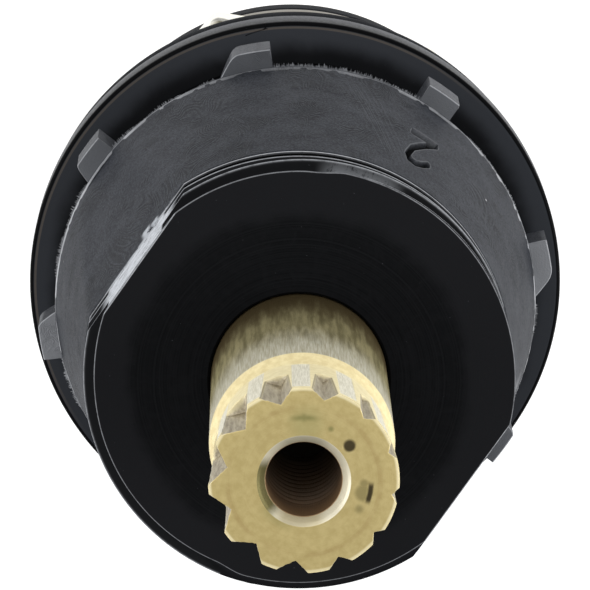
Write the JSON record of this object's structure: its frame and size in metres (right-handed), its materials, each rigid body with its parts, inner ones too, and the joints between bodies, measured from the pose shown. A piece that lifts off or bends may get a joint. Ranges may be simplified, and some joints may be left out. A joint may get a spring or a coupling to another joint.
{
  "type": "faucet stem",
  "caption": "Non-rising faucet stem: splined brass spindle, black threaded and flatted nose sleeve with a split ring, hexagon bonnet and a keyed plunger that carries the seat washer.",
  "frame": {"origin": "on the axis, in the lower face of the gasket, which meets the valve body", "axes": "+Z along the spindle towards its splined end; the sleeve's two flats face +X and -X"},
  "size_m": [0.032, 0.032, 0.0915],
  "materials": {
    "spindle_brass": "machined, slightly tarnished",
    "bonnet_brass": "machined",
    "sleeve_plastic": "moulded, satin",
    "ring_plastic": "moulded, glossy",
    "seal_rubber": "moulded",
    "washer_plastic": "moulded",
    "clip_steel": "stamped"
  },
  "bodies": {
    "bonnet_body": {"bonnet": "bonnet_brass", "sleeve": "sleeve_plastic", "split_ring": "ring_plastic", "sleeve_o_ring": "seal_rubber", "bonnet_gasket": "seal_rubber", "wear_washer": "washer_plastic", "slip_washer": "washer_plastic"},
    "spindle_body": {"spindle": "spindle_brass", "retaining_clip": "clip_steel", "spindle_o_ring_upper": "seal_rubber", "spindle_o_ring_lower": "seal_rubber"},
    "plunger_body": {"plunger": "bonnet_brass", "plunger_o_ring": "seal_rubber", "washer_cup": "bonnet_brass", "seat_washer": "seal_rubber", "bib_screw": "bonnet_brass"}
  },
  "joints": [
    {"name": "spindle_turn", "type": "hinge", "parent": "bonnet_body", "child": "spindle_body", "pos_m": [0, 0, 0.0305], "axis": [0, 0, 1], "range_deg": [0, 270]},
    {"name": "plunger_slide", "type": "slide", "parent": "bonnet_body", "child": "plunger_body", "axis": [0, 0, 1], "range_m": [0, 0.0045]}
  ],
  "couplings": [
    {"joint": "spindle_turn", "follows": "plunger_slide", "rad_per_m": 1047.2}
  ]
}
